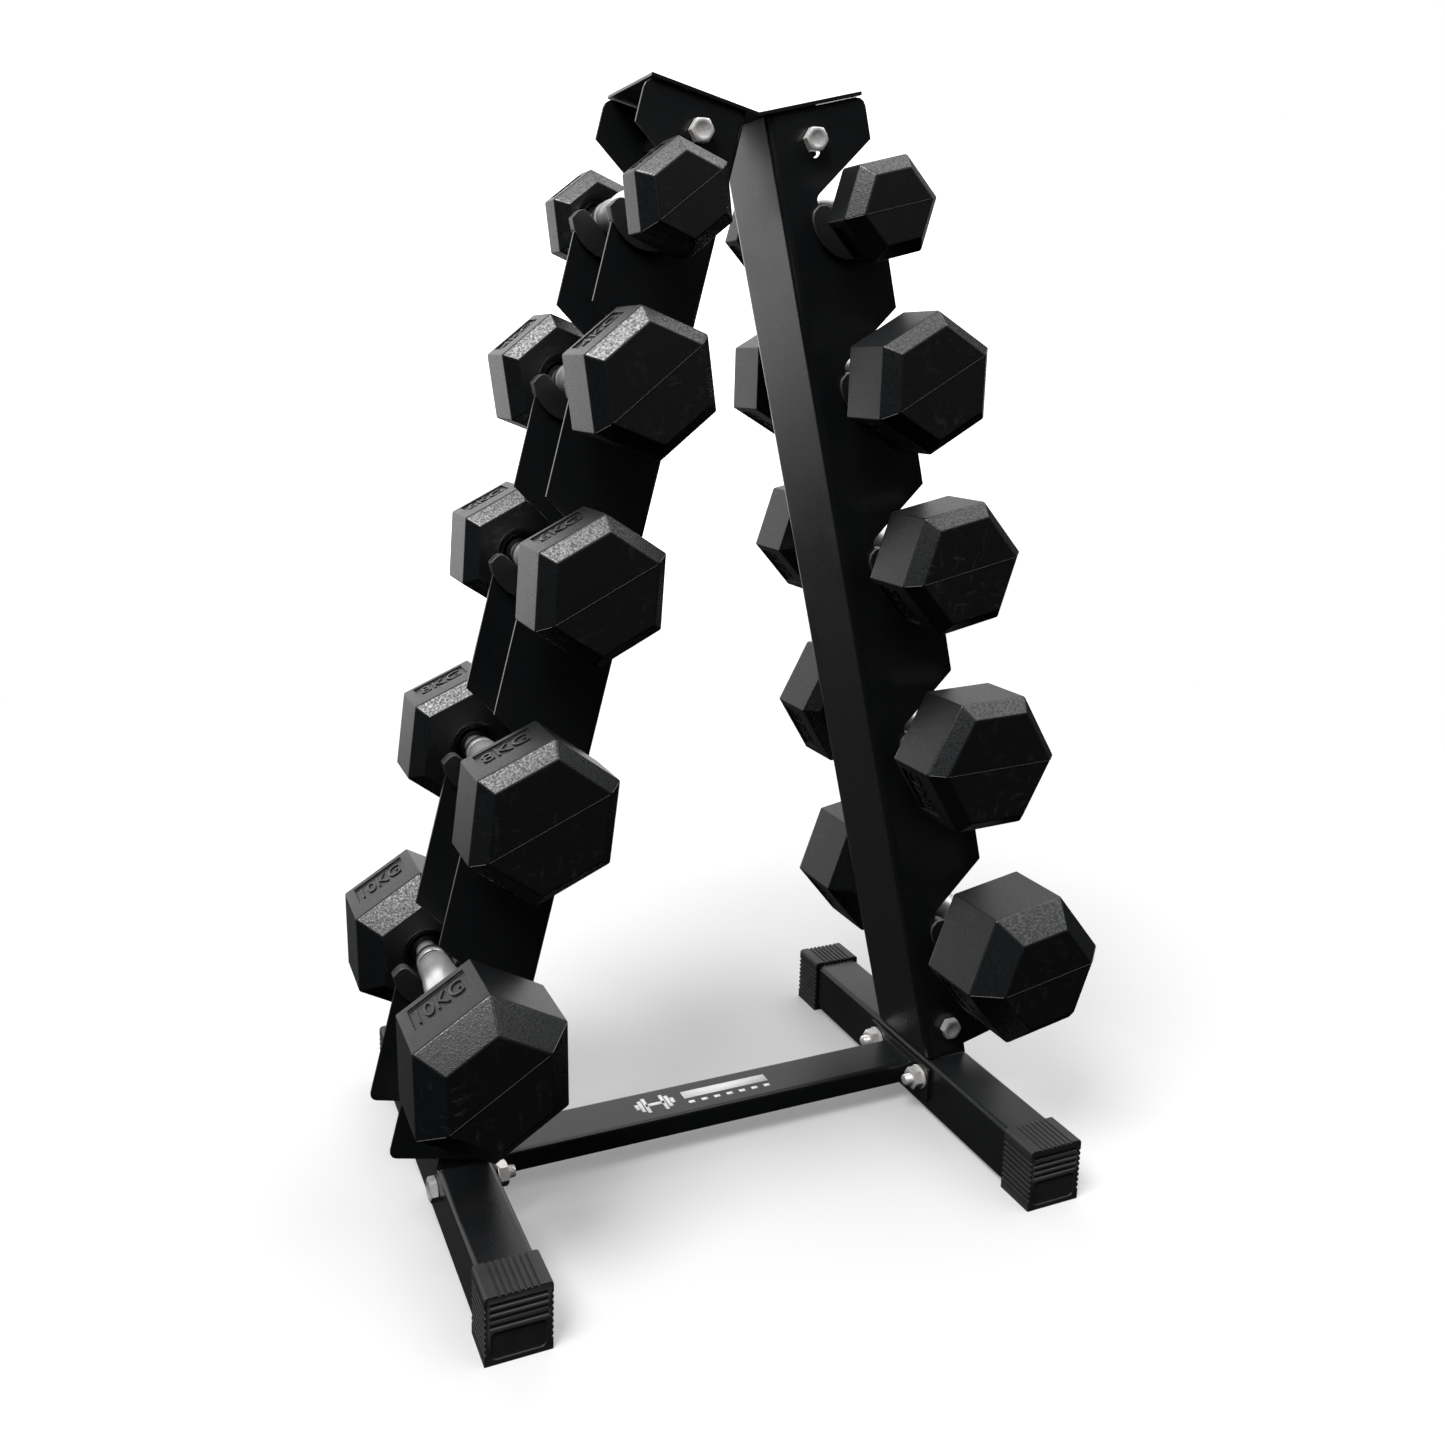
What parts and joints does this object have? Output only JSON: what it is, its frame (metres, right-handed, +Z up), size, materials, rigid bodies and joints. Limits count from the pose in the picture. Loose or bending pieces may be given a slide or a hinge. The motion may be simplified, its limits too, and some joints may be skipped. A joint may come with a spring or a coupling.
{
  "type": "dumbbell rack",
  "caption": "A-frame dumbbell rack in folded black steel, with plastic-lined notches down both sides that cradle graduated hexagonal dumbbells, each free to lift out.",
  "frame": {"origin": "on the floor, midway between the two feet and midway between their ends", "axes": "+Z up, +X towards the right-hand side as seen from the front, -Y towards the front, where the bolt heads are"},
  "size_m": [0.5974, 0.3528, 0.8947],
  "materials": {
    "frame_coat": "satin black powder coat on steel",
    "black_plastic": "moulded black plastic, satin",
    "zinc": "bright zinc plate",
    "coated_iron": "black rubber over cast iron, matt with a fine texture",
    "chrome_handle": "satin chrome"
  },
  "bodies": {
    "rack": {"upright_left": "frame_coat", "foot_left": "frame_coat", "end_cap_left_front": "black_plastic", "crossbar_bolt_left_front": "zinc", "crossbar_washer_left_front": "zinc", "crossbar_nut_left_front": "zinc", "end_cap_left_rear": "black_plastic", "crossbar_bolt_left_rear": "zinc", "crossbar_washer_left_rear": "zinc", "crossbar_nut_left_rear": "zinc", "top_bolt_left": "zinc", "top_nut_left": "zinc", "foot_bolt_left": "zinc", "foot_nut_left": "zinc", "saddle_left_1_front": "black_plastic", "saddle_left_1_rear": "black_plastic", "saddle_left_2_front": "black_plastic", "saddle_left_2_rear": "black_plastic", "saddle_left_3_front": "black_plastic", "saddle_left_3_rear": "black_plastic", "saddle_left_4_front": "black_plastic", "saddle_left_4_rear": "black_plastic", "saddle_left_5_front": "black_plastic", "saddle_left_5_rear": "black_plastic", "upright_right": "frame_coat", "foot_right": "frame_coat", "end_cap_right_front": "black_plastic", "crossbar_bolt_right_front": "zinc", "crossbar_washer_right_front": "zinc", "crossbar_nut_right_front": "zinc", "end_cap_right_rear": "black_plastic", "crossbar_bolt_right_rear": "zinc", "crossbar_washer_right_rear": "zinc", "crossbar_nut_right_rear": "zinc", "top_bolt_right": "zinc", "top_nut_right": "zinc", "foot_bolt_right": "zinc", "foot_nut_right": "zinc", "saddle_right_1_front": "black_plastic", "saddle_right_1_rear": "black_plastic", "saddle_right_2_front": "black_plastic", "saddle_right_2_rear": "black_plastic", "saddle_right_3_front": "black_plastic", "saddle_right_3_rear": "black_plastic", "saddle_right_4_front": "black_plastic", "saddle_right_4_rear": "black_plastic", "saddle_right_5_front": "black_plastic", "saddle_right_5_rear": "black_plastic", "crossbar": "frame_coat", "top_bracket": "frame_coat"},
    "dumbbell_left_1": {"dumbbell_left_1": "coated_iron"},
    "dumbbell_left_2": {"dumbbell_left_2": "coated_iron"},
    "dumbbell_left_3": {"dumbbell_left_3": "coated_iron"},
    "dumbbell_left_4": {"dumbbell_left_4": "coated_iron"},
    "dumbbell_left_5": {"dumbbell_left_5": "coated_iron"},
    "dumbbell_right_1": {"dumbbell_right_1": "coated_iron"},
    "dumbbell_right_2": {"dumbbell_right_2": "coated_iron"},
    "dumbbell_right_3": {"dumbbell_right_3": "coated_iron"},
    "dumbbell_right_4": {"dumbbell_right_4": "coated_iron"},
    "dumbbell_right_5": {"dumbbell_right_5": "coated_iron"}
  },
  "joints": [
    {"name": "lift_out_left_1", "type": "slide", "parent": "rack", "child": "dumbbell_left_1", "axis": [-0.658, 0, 0.753], "range_m": [0, 0.12]},
    {"name": "lift_out_left_2", "type": "slide", "parent": "rack", "child": "dumbbell_left_2", "axis": [-0.658, 0, 0.753], "range_m": [0, 0.12]},
    {"name": "lift_out_left_3", "type": "slide", "parent": "rack", "child": "dumbbell_left_3", "axis": [-0.658, 0, 0.753], "range_m": [0, 0.12]},
    {"name": "lift_out_left_4", "type": "slide", "parent": "rack", "child": "dumbbell_left_4", "axis": [-0.658, 0, 0.753], "range_m": [0, 0.12]},
    {"name": "lift_out_left_5", "type": "slide", "parent": "rack", "child": "dumbbell_left_5", "axis": [-0.658, 0, 0.753], "range_m": [0, 0.12]},
    {"name": "lift_out_right_1", "type": "slide", "parent": "rack", "child": "dumbbell_right_1", "axis": [0.658, 0, 0.753], "range_m": [0, 0.12]},
    {"name": "lift_out_right_2", "type": "slide", "parent": "rack", "child": "dumbbell_right_2", "axis": [0.658, 0, 0.753], "range_m": [0, 0.12]},
    {"name": "lift_out_right_3", "type": "slide", "parent": "rack", "child": "dumbbell_right_3", "axis": [0.658, 0, 0.753], "range_m": [0, 0.12]},
    {"name": "lift_out_right_4", "type": "slide", "parent": "rack", "child": "dumbbell_right_4", "axis": [0.658, 0, 0.753], "range_m": [0, 0.12]},
    {"name": "lift_out_right_5", "type": "slide", "parent": "rack", "child": "dumbbell_right_5", "axis": [0.658, 0, 0.753], "range_m": [0, 0.12]}
  ]
}
